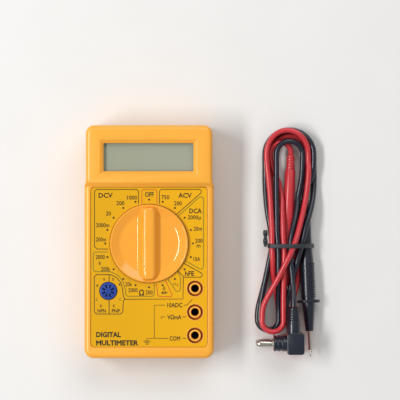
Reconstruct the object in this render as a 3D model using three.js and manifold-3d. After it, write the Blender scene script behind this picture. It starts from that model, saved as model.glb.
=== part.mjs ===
// Pocket digital multimeter lying on its back, with its two folded test leads beside it.
// Units are millimetres. +X is to the right of the meter's face, +Y towards its display,
// +Z out of its face. The origin is the middle of the back, on the surface it lies on.

import * as THREE from 'three';
import { mergeVertices } from 'three/addons/utils/BufferGeometryUtils.js';
import Module from 'manifold-3d';

const wasm = await Module();
wasm.setup();

// ---------------------------------------------------------------- driving dimensions

const gap = 0.3; // clearance between neighbouring pieces

// Case
const bodyLength = 126;
const bodyWidth = 70;
const headWidth = 68.4; // the display end is a little narrower
const footCorner = 5;
const headCorner = 4.5;
const wall = 2;
const backFloor = 1.6;
const seamHeight = 11; // rear cover below, front case above
const rimHeight = 24; // rims beside the printed panel
const headHeight = 26; // front of the display end
const panelInner = 21.5; // underside of the printed panel's wall
const edgeRound = 2.2;
const slopeFoot = 30; // the display end slopes up from here
const slopeTop = 32;
const shoulderLow = 29;
const shoulderHigh = 34;

// Printed panel
const labelWidth = 62.7;
const labelLow = -56.7;
const labelHigh = 29.4;
const labelTop = 23.5;
const labelThickness = 0.3;

// Display
const windowCentre = [-0.3, 45.7];
const windowInner = [48.2, 14.9];
const windowOuter = [52.6, 19.3];
const lcdHalfWidth = 26;
const lcdLow = 33.2;
const lcdHigh = 57.7;
const lcdTop = 22;

// Range knob
const knobY = -0.9;
const knobRadius = 21.1;
const knobHole = 21.45;
const knobFlange = 23.3;
const knobRim = 25.6;
const dishFloor = 23.4;
const dishRadius = 15.7;
const gripTop = 28;
const gripHalfLength = 19.7;
const gripTopWidth = 5.7;
const gripBaseWidth = 12.6;
const positions = 20;
const ballRadius = 1.1;
const ballCentre = 22.7; // from the knob's axis
const detentHeight = 19.4;

// Jacks for 4 mm plugs
const jackX = 24.8;
const jackRows = { ten_amp: -25.2, volt_ohm: -38, common: -50.6 };
const jackHole = 2.2;
const collarRadius = 3.2;
const moatRadius = 4.25;
const sleeveRadius = 2.7;

// Transistor test socket
const socketX = -22;
const socketY = -26.5;
const socketRadius = 4.7;
const socketTop = 24.3;

// Circuit board
const boardTop = 16;
const boardThickness = 1.6;
const boardBottom = boardTop - boardThickness;
const boardHigh = 35.2;
const boardLow = -60.2;
const boardHalfWidth = 31.6;
const boardScrews = [[-28.3, 27], [28.3, 27], [0, -44]];
const coverScrews = { left: [-28.8, -57.3], right: [28.8, -57.3] };

// Battery, size PP3
const batterySize = [46.2, 25.2, 16.6];
const batteryLow = [-27.5, 35.6, 1.9];

// Test leads
const cordRadius = 1.5;
const probeLength = 86;
const tails = { red: [77.4, 47, 2.9], black: [84.9, 22.5, 2.9] };
const tips = { red: [73.6, -38.9, 6.2], black: [88, -63.4, 6.2] };
const plugX = 79.55; // middle of a plug's block
const plugY = -55.6; // a plug's pin
const cordX = 78.5; // where the cord enters a plug
const plugHeights = { red: 4.8, black: 14.4 };
const tieY = -2.5;

// ---------------------------------------------------------------- materials

function finish(color, roughness, metalness = 0) {
  return () => new THREE.MeshStandardMaterial({ color, roughness, metalness });
}

const caseAbs = finish(0xfdb548, 0.42);
const labelInk = finish(0xebb82c, 0.35);
const knobAbs = finish(0xfaa83c, 0.3);
const clearPlastic = finish(0xdfe6e2, 0.08);
const lcdGlass = finish(0x8d917f, 0.25);
const whitePlastic = finish(0xe9e6dc, 0.5);
const rubberGrey = finish(0x3a3a3c, 0.8);
const boardGreen = finish(0x1f5c3a, 0.5);
const steel = finish(0xb9bcc0, 0.3, 1);
const brass = finish(0xc9a24a, 0.3, 1);
const socketBlue = finish(0x2f55b8, 0.35);
const batteryJacket = finish(0x2c3a55, 0.4);
const blackPlastic = finish(0x1d1e20, 0.45);
const wireRed = finish(0xb8202a, 0.4);
const wireBlack = finish(0x1b1b1e, 0.4);
const fuseGlass = finish(0xd8e2e0, 0.1);
const epoxyBlack = finish(0x0f0f10, 0.35);
const filmYellow = finish(0xc98a1e, 0.4);
const resistorBlue = finish(0x7fa7b8, 0.5);
const leadRed = finish(0xc93540, 0.35);
const leadBlack = finish(0x25262d, 0.35);

// ---------------------------------------------------------------- solid helpers

// Joins shared corners and drops triangles that have no area.
function weld(geometry) {
  const bare = geometry.clone();
  for (const name of Object.keys(bare.attributes)) {
    if (name !== 'position') bare.deleteAttribute(name);
  }
  const merged = mergeVertices(bare, 1e-4);
  const corners = merged.index.array;
  const kept = [];
  for (let i = 0; i < corners.length; i += 3) {
    const [a, b, c] = [corners[i], corners[i + 1], corners[i + 2]];
    if (a !== b && b !== c && c !== a) kept.push(a, b, c);
  }
  merged.setIndex(kept);
  return merged;
}

function toSolid(geometry) {
  const welded = weld(geometry);
  return new wasm.Manifold(new wasm.Mesh({
    numProp: 3,
    vertProperties: new Float32Array(welded.attributes.position.array),
    triVerts: new Uint32Array(welded.index.array),
  }));
}

function toGeometry(solid) {
  const mesh = solid.getMesh();
  const geometry = new THREE.BufferGeometry();
  geometry.setAttribute('position', new THREE.BufferAttribute(mesh.vertProperties, 3));
  geometry.setIndex(new THREE.BufferAttribute(mesh.triVerts, 1));
  return geometry;
}

function join(first, ...others) {
  return toGeometry(others.reduce((sum, next) => sum.add(toSolid(next)), toSolid(first)));
}

function cut(first, ...tools) {
  return toGeometry(tools.reduce((left, next) => left.subtract(toSolid(next)), toSolid(first)));
}

function common(first, second) {
  return toGeometry(toSolid(first).intersect(toSolid(second)));
}

function box(x0, x1, y0, y1, z0, z1) {
  const geometry = new THREE.BoxGeometry(x1 - x0, y1 - y0, z1 - z0);
  return geometry.translate((x0 + x1) / 2, (y0 + y1) / 2, (z0 + z1) / 2);
}

// A round bar standing along Z.
function rod(x, y, radius, z0, z1, sides = 20) {
  const geometry = new THREE.CylinderGeometry(radius, radius, z1 - z0, sides);
  return geometry.rotateX(Math.PI / 2).translate(x, y, (z0 + z1) / 2);
}

// A turned shape about Z from [radius, height] pairs that go up the outside.
function turned(profile, sides = 32) {
  const points = profile.map(([radius, height]) => new THREE.Vector2(radius, height));
  return new THREE.LatheGeometry(points, sides).rotateX(Math.PI / 2);
}

function slab(shape, z0, z1, segments = 3) {
  const settings = { depth: z1 - z0, bevelEnabled: false, curveSegments: segments };
  return new THREE.ExtrudeGeometry(shape, settings).translate(0, 0, z0);
}

// A slab whose upper edge is rounded.
function crownedSlab(shape, z0, z1, radius) {
  const settings = {
    depth: z1 - z0,
    bevelThickness: radius,
    bevelSize: radius,
    bevelOffset: -radius,
    bevelSegments: 3,
    curveSegments: 3,
  };
  const whole = new THREE.ExtrudeGeometry(shape, settings).translate(0, 0, z0 - radius);
  return common(whole, box(-200, 200, -200, 200, z0, z1 + 1));
}

function roundedRectangle(x0, x1, y0, y1, radius) {
  const shape = new THREE.Shape();
  shape.moveTo(x0 + radius, y0);
  shape.lineTo(x1 - radius, y0);
  shape.absarc(x1 - radius, y0 + radius, radius, -Math.PI / 2, 0);
  shape.lineTo(x1, y1 - radius);
  shape.absarc(x1 - radius, y1 - radius, radius, 0, Math.PI / 2);
  shape.lineTo(x0 + radius, y1);
  shape.absarc(x0 + radius, y1 - radius, radius, Math.PI / 2, Math.PI);
  shape.lineTo(x0, y0 + radius);
  shape.absarc(x0 + radius, y0 + radius, radius, Math.PI, 1.5 * Math.PI);
  return shape;
}

// A round tube along a smooth curve through the given points.
function tube(points, radius, steps, sides = 8) {
  const curve = new THREE.CatmullRomCurve3(points.map((point) => new THREE.Vector3(...point)));
  const section = new THREE.Shape();
  for (let i = 0; i < sides; i += 1) {
    const turn = (i / sides) * 2 * Math.PI;
    const corner = [radius * Math.cos(turn), radius * Math.sin(turn)];
    if (i === 0) section.moveTo(...corner);
    else section.lineTo(...corner);
  }
  section.closePath();
  return new THREE.ExtrudeGeometry(section, { steps, extrudePath: curve, bevelEnabled: false });
}

const model = new THREE.Group();

function add(name, geometry, material) {
  const mesh = new THREE.Mesh(weld(geometry), material());
  mesh.name = name;
  model.add(mesh);
  return mesh;
}

// ---------------------------------------------------------------- case

// The meter's outline seen from the front, moved inwards by inset.
function caseOutline(inset) {
  const low = bodyWidth / 2 - inset;
  const high = headWidth / 2 - inset;
  const end = bodyLength / 2 - inset;
  const foot = footCorner - inset;
  const head = headCorner - inset;
  const middle = (shoulderLow + shoulderHigh) / 2;
  const shape = new THREE.Shape();
  shape.moveTo(-low + foot, -end);
  shape.lineTo(low - foot, -end);
  shape.absarc(low - foot, -end + foot, foot, -Math.PI / 2, 0);
  shape.lineTo(low, shoulderLow);
  shape.bezierCurveTo(low, middle, high, middle, high, shoulderHigh);
  shape.lineTo(high, end - head);
  shape.absarc(high - head, end - head, head, 0, Math.PI / 2);
  shape.lineTo(-high + head, end);
  shape.absarc(-high + head, end - head, head, Math.PI / 2, Math.PI);
  shape.lineTo(-high, shoulderHigh);
  shape.bezierCurveTo(-high, middle, -low, middle, -low, shoulderLow);
  shape.lineTo(-low, -end + foot);
  shape.absarc(-low + foot, -end + foot, foot, Math.PI, 1.5 * Math.PI);
  return shape;
}

// Everything on the display side of the slope, as a prism along X.
function headPrism() {
  const profile = new THREE.Shape();
  profile.moveTo(slopeFoot, 0);
  profile.lineTo(slopeFoot, rimHeight);
  profile.lineTo(slopeTop, headHeight);
  profile.lineTo(slopeTop, headHeight + 2);
  profile.lineTo(bodyLength, headHeight + 2);
  profile.lineTo(bodyLength, 0);
  profile.closePath();
  const settings = { depth: 2 * bodyWidth, bevelEnabled: false };
  const prism = new THREE.ExtrudeGeometry(profile, settings);
  return prism.rotateY(Math.PI / 2).rotateX(Math.PI / 2).translate(-bodyWidth, 0, 0);
}

// The display opening: straight through the wall, then widening to the front.
function windowOpening() {
  const [x, y] = windowCentre;
  const extra = 0.5;
  const grow = (windowOuter[0] - windowInner[0]) / 2 / (headHeight - rimHeight);
  const funnel = new THREE.BoxGeometry(windowInner[0], windowInner[1], headHeight - rimHeight + extra);
  const corners = funnel.attributes.position;
  const spread = grow * (headHeight - rimHeight + extra);
  for (let i = 0; i < corners.count; i += 1) {
    if (corners.getZ(i) > 0) {
      corners.setX(i, corners.getX(i) + Math.sign(corners.getX(i)) * spread);
      corners.setY(i, corners.getY(i) + Math.sign(corners.getY(i)) * spread);
    }
  }
  funnel.translate(x, y, (rimHeight + headHeight + extra) / 2);
  const [halfX, halfY] = [windowInner[0] / 2, windowInner[1] / 2];
  return join(funnel, box(x - halfX, x + halfX, y - halfY, y + halfY, rimHeight - 3, rimHeight + gap));
}

// The ring under the panel that the knob's click balls run in, with a notch for each position.
function detentRing() {
  const inner = ballCentre + ballRadius + 0.15;
  const outer = inner + 2.4;
  const low = detentHeight - 2;
  const shape = new THREE.Shape();
  for (let i = 0; i < 2 * positions; i += 1) {
    const turn = (i / positions) * Math.PI;
    const radius = i % 2 === 0 ? inner + 0.8 : inner;
    const corner = [radius * Math.cos(turn), radius * Math.sin(turn)];
    if (i === 0) shape.moveTo(...corner);
    else shape.lineTo(...corner);
  }
  shape.closePath();
  const hollow = slab(shape, low - 1, panelInner).translate(0, knobY, 0);
  return cut(rod(0, knobY, outer, low, panelInner + 0.2, 40), hollow);
}

function frontCase() {
  const low = seamHeight + gap;
  const shell = join(
    crownedSlab(caseOutline(0), low, rimHeight, edgeRound),
    common(crownedSlab(caseOutline(0), low, headHeight, edgeRound), headPrism()),
  );
  const cavity = slab(caseOutline(wall), low - 2, panelInner);
  const headCavity = common(
    slab(caseOutline(wall), low - 2, rimHeight),
    box(-100, 100, slopeTop - 0.2, 100, 0, 50),
  );
  const half = labelWidth / 2 + gap;
  const recess = slab(
    roundedRectangle(-half, half, labelLow - gap, labelHigh + gap, 2),
    labelTop - labelThickness - gap,
    headHeight + 2,
  );
  let body = cut(shell, cavity, headCavity, recess, windowOpening());
  body = join(body, detentRing());
  body = cut(body, rod(0, knobY, knobHole, 10, 40, 48));
  const bosses = [];
  const bores = [];
  for (const y of Object.values(jackRows)) {
    bosses.push(rod(jackX, y, moatRadius + 1.1, boardTop + 1, panelInner + 0.4, 16));
    bosses.push(rod(jackX, y, collarRadius, panelInner, labelTop + 0.1));
    const moatFloor = labelTop - 2.9;
    bores.push(cut(rod(jackX, y, moatRadius, moatFloor, 30), rod(jackX, y, collarRadius, 0, 40)));
    bores.push(rod(jackX, y, jackHole, 0, 40));
    bores.push(rod(jackX, y, sleeveRadius + gap, 0, moatFloor - 0.5));
  }
  for (const [x, y] of boardScrews) {
    bosses.push(rod(x, y, 2.6, boardTop + gap, panelInner + 0.2, 16));
    bores.push(rod(x, y, 1.05, boardTop - 1, panelInner - 1.2, 12));
  }
  for (const [x, y] of Object.values(coverScrews)) {
    bosses.push(rod(x, y, 3, seamHeight + 2 * gap, panelInner + 0.2, 16));
    bores.push(rod(x, y, 1.3, 0, panelInner - 2, 12));
  }
  bores.push(rod(socketX, socketY, socketRadius + gap, 10, 40));
  return cut(join(body, ...bosses), ...bores);
}

function rearCover() {
  // Crowned at its top first, then turned over so that the rounded edge is at the back.
  const shell = crownedSlab(caseOutline(0), -seamHeight, 0, edgeRound).rotateY(Math.PI);
  const cavity = slab(caseOutline(wall), backFloor, seamHeight + 1);
  const body = cut(shell, cavity);
  const [x0, y0, z0] = batteryLow;
  const ribs = [
    box(-20, 20, y0 - 1.5, y0 - gap, 1, 8),
    box(x0 - 1.4, x0 - gap, y0 + 3, y0 + 20, 1, z0 + 5),
    box(26.6, 27.8, y0 + 3, y0 + 20, 1, z0 + 5),
  ];
  const tabs = [-1, 1].map((side) => box(side * 29 - 1.2, side * 29 + 1.2, 58.6, 60.6, 1, 13.5));
  const bosses = [];
  const bores = [];
  for (const [x, y] of Object.values(coverScrews)) {
    bosses.push(rod(x, y, 3.4, 1, seamHeight, 12));
    bores.push(rod(x, y, 1.3, -1, seamHeight + 1, 12));
    bores.push(rod(x, y, 2.9, -1, 2.3, 16));
  }
  return cut(join(body, ...ribs, ...tabs, ...bosses), ...bores);
}

// A round-headed screw pointing up, its head's cross slot facing down.
function screw(x, y, headRadius, headLow, headHigh, shankRadius, shankHigh) {
  const head = rod(x, y, headRadius, headLow, headHigh, 12);
  const shank = rod(x, y, shankRadius, headHigh - 0.1, shankHigh, 6);
  const half = headRadius * 0.6;
  const depth = (headHigh - headLow) * 0.6;
  const slotA = box(x - half, x + half, y - 0.3, y + 0.3, headLow - 1, headLow + depth);
  const slotB = box(x - 0.3, x + 0.3, y - half, y + half, headLow - 1, headLow + depth);
  return cut(join(head, shank), slotA, slotB);
}

add('front_case', frontCase(), caseAbs);
add('rear_cover', rearCover(), caseAbs);
for (const [side, [x, y]] of Object.entries(coverScrews)) {
  add(`cover_screw_${side}`, screw(x, y, 2.5, 0.5, 2, 1, 16), steel);
}

// ---------------------------------------------------------------- printed panel and display

function labelPanel() {
  const outline = roundedRectangle(-labelWidth / 2, labelWidth / 2, labelLow, labelHigh, 1.8);
  const low = labelTop - labelThickness;
  const sheet = slab(outline, low, labelTop);
  const holes = [rod(0, knobY, knobHole, 0, 40, 48), rod(socketX, socketY, socketRadius + gap, 0, 40)];
  for (const y of Object.values(jackRows)) holes.push(rod(jackX, y, moatRadius, 0, 40));
  return cut(sheet, ...holes);
}

add('label_panel', labelPanel(), labelInk);
add('display_window', box(-26.6, 26, 36.4, 55.2, lcdTop + 0.6, rimHeight - gap), clearPlastic);

const lcdFront = box(-lcdHalfWidth, lcdHalfWidth, lcdLow, lcdHigh, lcdTop - 1.2, lcdTop);
const lcdRear = box(-lcdHalfWidth, lcdHalfWidth, lcdLow + 2.6, lcdHigh, lcdTop - 2.4, lcdTop - 1.1);
add('lcd_panel', join(lcdFront, lcdRear), lcdGlass);

const holderOuter = box(-27.4, 27.4, lcdLow - 1, lcdHigh + 1.1, lcdTop - 2.8, lcdTop);
const holderInner = box(-26.3, 26.3, lcdLow - gap, lcdHigh + gap, 0, 40);
add('lcd_holder', cut(holderOuter, holderInner), whitePlastic);
add('zebra_strip', box(-22, 22, lcdLow + 0.2, lcdLow + 1.9, boardTop + gap, lcdTop - 1.5), rubberGrey);

// ---------------------------------------------------------------- range knob

// The raised bar that the fingers turn, narrower at its top and round at its ends.
function gripBar() {
  const profile = new THREE.Shape();
  profile.moveTo(-gripBaseWidth / 2, dishFloor - 0.2);
  profile.lineTo(gripBaseWidth / 2, dishFloor - 0.2);
  profile.lineTo(gripTopWidth / 2 + 0.3, gripTop - 0.5);
  profile.lineTo(gripTopWidth / 2 - 0.2, gripTop);
  profile.lineTo(-gripTopWidth / 2 + 0.2, gripTop);
  profile.lineTo(-gripTopWidth / 2 - 0.3, gripTop - 0.5);
  profile.closePath();
  const settings = { depth: 2 * gripHalfLength, bevelEnabled: false };
  const bar = new THREE.ExtrudeGeometry(profile, settings);
  bar.rotateX(Math.PI / 2).translate(0, gripHalfLength, 0);
  const ends = turned([[0, 20], [gripHalfLength, 20], [gripHalfLength - 0.7, gripTop], [0, gripTop]], 48);
  return common(bar, ends);
}

function rangeKnob() {
  const flangeLow = detentHeight - 1.8;
  const flangeHigh = panelInner - gap;
  const disc = turned([
    [0, flangeLow - 0.6],
    [5, flangeLow - 0.6],
    [5, flangeHigh],
    [17, flangeHigh],
    [17, flangeLow],
    [knobFlange, flangeLow],
    [knobFlange, flangeHigh],
    [knobRadius, flangeHigh],
    [knobRadius, knobRim - 0.5],
    [knobRadius - 0.5, knobRim],
    [knobRadius - 1, knobRim],
    [dishRadius, dishFloor + 0.2],
    [dishRadius - 1, dishFloor],
    [0, dishFloor],
  ], 48);
  const pocket = new THREE.CylinderGeometry(1.3, 1.3, 2 * knobFlange + 4, 10);
  pocket.rotateZ(Math.PI / 2).translate(0, 0, detentHeight);
  const pockets = cut(pocket, box(-17.3, 17.3, -5, 5, 0, 40));
  return cut(join(disc, gripBar()), pockets);
}

// A leaf of sprung brass that carries current between tracks on the board.
function contactWiper(turn) {
  const leaf = [
    [7, 20.85], [15.4, 20.85], [15.4, 20.3], [9.7, 16.35], [9.2, 16.35],
    [8.2, 17.1], [8.4, 17.4], [9.4, 16.8], [14.4, 20.45], [7, 20.45],
  ];
  const profile = new THREE.Shape(leaf.map(([along, height]) => new THREE.Vector2(along, height)));
  const strip = new THREE.ExtrudeGeometry(profile, { depth: 2.4, bevelEnabled: false });
  return strip.rotateX(Math.PI / 2).translate(0, 1.2, 0).rotateZ(turn);
}

function detentSpring() {
  const coilRadius = 0.95;
  const turns = 4;
  const perTurn = 8;
  const start = 17.7;
  const length = ballCentre - ballRadius - gap - start;
  const points = [];
  for (let i = 0; i <= turns * perTurn; i += 1) {
    const turn = (i / perTurn) * 2 * Math.PI;
    const along = start + (length * i) / (turns * perTurn);
    points.push([along, coilRadius * Math.cos(turn), coilRadius * Math.sin(turn)]);
  }
  return tube(points, 0.18, turns * perTurn, 4);
}

add('range_knob', rangeKnob().translate(0, knobY, 0), knobAbs);
for (let i = 0; i < 3; i += 1) {
  const turn = Math.PI / 2 + (i * 2 * Math.PI) / 3;
  add(`contact_wiper_${i + 1}`, contactWiper(turn).translate(0, knobY, 0), brass);
}
for (const [side, turn] of [['left', Math.PI], ['right', 0]]) {
  const spring = detentSpring().rotateZ(turn).translate(0, knobY, detentHeight);
  add(`detent_spring_${side}`, spring, steel);
  const ball = new THREE.SphereGeometry(ballRadius, 10, 6);
  ball.translate(ballCentre * Math.cos(turn), knobY, detentHeight);
  add(`detent_ball_${side}`, ball, steel);
}

// ---------------------------------------------------------------- jacks and transistor socket

for (const [name, y] of Object.entries(jackRows)) {
  const top = labelTop - 2.9 - 0.5 - gap;
  const inner = 2.05;
  const sleeve = cut(rod(jackX, y, sleeveRadius, 10.5, top), rod(jackX, y, inner, 0, 40));
  add(`jack_sleeve_${name}`, sleeve, brass);
}

function transistorSocket() {
  const body = turned([
    [0, boardTop + gap],
    [socketRadius, boardTop + gap],
    [socketRadius, socketTop - 0.4],
    [socketRadius - 0.4, socketTop],
    [0, socketTop],
  ], 32);
  const slots = [];
  for (let i = 0; i < 8; i += 1) {
    slots.push(box(1.6, 3.4, -0.4, 0.4, socketTop - 3.5, socketTop + 1).rotateZ(((i + 0.5) * Math.PI) / 4));
  }
  return cut(body, ...slots).translate(socketX, socketY, 0);
}

add('transistor_socket', transistorSocket(), socketBlue);

// ---------------------------------------------------------------- circuit board

function circuitBoard() {
  const plate = box(-boardHalfWidth, boardHalfWidth, boardLow, boardHigh, boardBottom, boardTop);
  const holes = [];
  for (const [x, y] of Object.values(coverScrews)) holes.push(rod(x, y, 4.4, 0, 40, 16));
  for (const [x, y] of boardScrews) holes.push(rod(x, y, 1.1, 0, 40, 12));
  for (const y of Object.values(jackRows)) holes.push(rod(jackX, y, sleeveRadius + gap, 0, 40));
  return cut(plate, ...holes);
}

add('circuit_board', circuitBoard(), boardGreen);
boardScrews.forEach(([x, y], i) => {
  add(`board_screw_${i + 1}`, screw(x, y, 2, boardBottom - 1.5, boardBottom - gap, 0.75, 19.5), steel);
});

// Pieces on the back of the board hang this far under it.
const under = boardBottom - gap;

const blob = turned([[0, under - 1.7], [4.5, under - 1.4], [6.6, under - 0.6], [7, under], [0, under]], 20);
add('chip_blob', blob.translate(-8, 14, 0), epoxyBlack);
add('buzzer_disc', rod(12, -25, 10, 2, 2.6, 24), brass);
const shuntRoute = [[14, -24, under], [14, -24, 10], [14, -27, 8], [14, -36, 8], [14, -39, 10], [14, -39, under]];
add('shunt_wire', tube(shuntRoute, 0.7, 14, 6), brass);

const trimmerX = -19;
const trimmerY = 21;
const trimmerCup = cut(
  box(trimmerX - 3, trimmerX + 3, trimmerY - 3, trimmerY + 3, under - 3.2, under),
  rod(trimmerX, trimmerY, 2.5, 0, under - 1.4, 16),
);
add('trimmer_body', trimmerCup, socketBlue);
const rotor = cut(
  rod(trimmerX, trimmerY, 2.1, under - 3.6, under - 1.7, 16),
  box(trimmerX - 1.7, trimmerX + 1.7, trimmerY - 0.3, trimmerY + 0.3, 0, under - 2.9),
);
add('trimmer_rotor', rotor, whitePlastic);

for (const [i, x] of [4, 11].entries()) {
  add(`film_capacitor_${i + 1}`, box(x, x + 2.6, 20, 27, under - 7, under), filmYellow);
}
const canShape = turned([[0, 0], [2.1, 0], [2.5, 0.4], [2.5, 6.6], [2.1, 7], [0, 7]], 16);
add('electrolytic_capacitor', canShape.translate(20, 14, under - 7), epoxyBlack);
for (let i = 0; i < 3; i += 1) {
  const resistor = turned([
    [0, -6], [0.3, -6], [0.3, -3.2], [1.1, -3], [0.9, -1.8],
    [0.9, 1.8], [1.1, 3], [0.3, 3.2], [0.3, 6], [0, 6],
  ], 8);
  add(`resistor_${i + 1}`, resistor.rotateY(Math.PI / 2).translate(-14, -4 * i - 6, under - 1.4), resistorBlue);
}

// ---------------------------------------------------------------- fuse

const fuseY = -52;
const fuseZ = 9.6;
const fuseX = -6;

// A round bar lying along X.
function barAlongX(x0, x1, y, z, radius, sides = 16) {
  const bar = new THREE.CylinderGeometry(radius, radius, x1 - x0, sides);
  return bar.rotateZ(Math.PI / 2).translate((x0 + x1) / 2, y, z);
}

add('fuse_glass', barAlongX(fuseX - 4.7, fuseX + 4.7, fuseY, fuseZ, 2.3), fuseGlass);
for (const [side, sign] of [['left', -1], ['right', 1]]) {
  const near = fuseX + sign * 5;
  const far = fuseX + sign * 10;
  const [x0, x1] = [Math.min(near, far), Math.max(near, far)];
  add(`fuse_cap_${side}`, barAlongX(x0, x1, fuseY, fuseZ, 2.5), steel);
  const clip = cut(
    join(barAlongX(x0 + 0.8, x1 - 0.8, fuseY, fuseZ, 3.3), box(x0 + 0.8, x1 - 0.8, fuseY - 2, fuseY + 2, fuseZ, under)),
    barAlongX(x0, x1, fuseY, fuseZ, 2.8),
    box(x0, x1, fuseY - 2, fuseY + 2, 0, fuseZ),
  );
  add(`fuse_clip_${side}`, clip, brass);
}

// ---------------------------------------------------------------- battery

const [batteryX, batteryY, batteryZ] = batteryLow;
const [canLength, canWidth, canDepth] = batterySize;
const batteryFar = batteryX + canLength;
const batteryOutline = roundedRectangle(batteryY, batteryY + canWidth, batteryZ, batteryZ + canDepth, 2);

// The rounded section of the battery, along X from x0 to x1.
function batterySlice(x0, x1) {
  const settings = { depth: x1 - x0, bevelEnabled: false, curveSegments: 2 };
  const slice = new THREE.ExtrudeGeometry(batteryOutline, settings);
  return slice.rotateY(Math.PI / 2).rotateX(Math.PI / 2).translate(x0, 0, 0);
}

add('battery_can', batterySlice(batteryX, batteryFar), batteryJacket);
add('battery_end_plate', batterySlice(batteryFar + gap, batteryFar + gap + 0.8), blackPlastic);
const terminalX = batteryFar + gap + 0.8 + gap;
const middleZ = batteryZ + canDepth / 2;
add('battery_terminal_plus', barAlongX(terminalX, terminalX + 2.6, batteryY + 6.3, middleZ, 2.8), steel);
add('battery_terminal_minus', barAlongX(terminalX, terminalX + 2.6, batteryY + 18.9, middleZ, 3.4), steel);
const capX = terminalX + 2.6 + gap;
add('snap_cap', box(capX, capX + 2.2, batteryY + 0.6, batteryY + 24.6, batteryZ + 2, batteryZ + 14.6), blackPlastic);
for (const [name, x, material] of [['red', capX + 0.2, wireRed], ['black', capX + 2.4, wireBlack]]) {
  const route = [
    [x - 0.2, batteryY + 0.3, middleZ], [x - 0.2, batteryY - 1.5, middleZ], [x - 1, 31, 11.5],
    [x - 1.5, 29.5, 13], [x - 1.5, 29.5, under],
  ];
  add(`snap_wire_${name}`, tube(route, 0.6, 10, 6), material);
}

// ---------------------------------------------------------------- test leads

// Places a piece made along +Y from the origin so that it lies from one point towards another,
// its own X staying level.
function layAlong(mesh, from, to) {
  const start = new THREE.Vector3(...from);
  const along = new THREE.Vector3(...to).sub(start).normalize();
  const across = new THREE.Vector3().crossVectors(along, new THREE.Vector3(0, 0, 1)).normalize();
  const up = new THREE.Vector3().crossVectors(across, along);
  mesh.quaternion.setFromRotationMatrix(new THREE.Matrix4().makeBasis(across, along, up));
  mesh.position.copy(start);
}

// [distance from the cord end, radius] down the outside of a probe.
const guardAt = probeLength - 30.5;
const guardHalfWidth = 6.35;
const noseEnd = probeLength - 14.2;
const handleProfile = [
  [0, 0], [0, 2.3], [7, 2.6], [7.4, 2.9], [25, 3], [33.5, 3.7], [guardAt - 0.9, 3.7],
  [guardAt + 0.9, 3.6], [noseEnd, 2.15], [noseEnd, 1.35], [noseEnd - 2.5, 1.35], [noseEnd - 2.5, 0],
];

// The handle, with an oval finger guard that is lower than it is wide.
function probeHandle() {
  const points = handleProfile.map(([along, radius]) => new THREE.Vector2(radius, along));
  const body = new THREE.LatheGeometry(points, 16);
  const guard = new THREE.CylinderGeometry(guardHalfWidth, guardHalfWidth, 1.6, 24).scale(1, 1, 0.7);
  return join(body, guard.translate(0, guardAt, 0));
}

function probeTip() {
  const points = [
    [0, noseEnd - 2.2], [1, noseEnd - 2.2], [1, probeLength - 3], [0.35, probeLength - 0.2], [0, probeLength],
  ];
  return new THREE.LatheGeometry(points.map(([radius, along]) => new THREE.Vector2(radius, along)), 10);
}

const leadFinish = { red: leadRed, black: leadBlack };
for (const color of ['red', 'black']) {
  layAlong(add(`probe_handle_${color}`, probeHandle(), leadFinish[color]), tails[color], tips[color]);
  layAlong(add(`probe_tip_${color}`, probeTip(), steel), tails[color], tips[color]);
}

// The moulded right-angle plug: block, collar round the pin, and ribbed cord sleeve.
const blockHalf = [4.65, 5.85, 4.5];
const collarEnd = plugX - blockHalf[0] - 7.3;
const sleeveEnd = plugY + 19.8;

function plugBody(height) {
  const [halfX, halfY, halfZ] = blockHalf;
  const outline = roundedRectangle(plugX - halfX, plugX + halfX, plugY - halfY, plugY + halfY, 1.2);
  const block = slab(outline, height - halfZ, height + halfZ, 2);
  const collar = barAlongX(collarEnd, plugX, plugY, height, 4.2, 20);
  const sleeveProfile = [
    [0, 0], [3.7, 0], [3.7, 11.4], [3.5, 11.6], [2.8, 19.8], [0, 19.8],
  ];
  const sleevePoints = sleeveProfile.map(([radius, along]) => new THREE.Vector2(radius, along));
  const sleeve = new THREE.LatheGeometry(sleevePoints, 16).translate(cordX, plugY, height);
  const socket = barAlongX(collarEnd - 1, collarEnd + 2.5, plugY, height, 2.3, 16);
  return cut(join(block, collar, sleeve), socket);
}

for (const color of ['red', 'black']) {
  const height = plugHeights[color];
  add(`plug_body_${color}`, plugBody(height), leadFinish[color]);
  const pin = join(
    barAlongX(collarEnd - 8.6, collarEnd + 2.2, plugY, height, 1.95),
    barAlongX(collarEnd - 9.6, collarEnd - 8.5, plugY, height, 1.5),
  );
  add(`plug_pin_${color}`, pin, steel);
}

// Cord from each plug's sleeve to the face where the folded hank begins.
const hankFace = -20;
const hankTop = 15.1;
const cordRoutes = {
  red: [
    [cordX, sleeveEnd + gap, plugHeights.red], [cordX + 0.1, -33, 4.7], [79.2, -29.5, 4.2],
    [80.1, -25.5, 3.3], [80.9, hankFace - 2 * gap, 2.4],
  ],
  black: [
    [cordX, sleeveEnd + gap, plugHeights.black], [cordX, -33, 14.2], [78.4, -29.5, 13.5],
    [78.2, -25.5, 12.2], [78, hankFace - 2 * gap, 11],
  ],
};
for (const color of ['red', 'black']) {
  add(`lead_cord_${color}`, tube(cordRoutes[color], cordRadius, 6), leadFinish[color]);
}

// Corners of the tie's inside, as [x, z], anticlockwise seen from the plugs.
const tieInside = [
  [65, 0.7], [88.6, 0.7], [89.6, 2.5], [89.3, 6.2], [85, 11.4],
  [80.8, 15], [77.6, 15.2], [66.2, 13.4], [65, 12.2],
];
const tieThickness = 0.5;
const tieWidth = 2.4;

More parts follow.
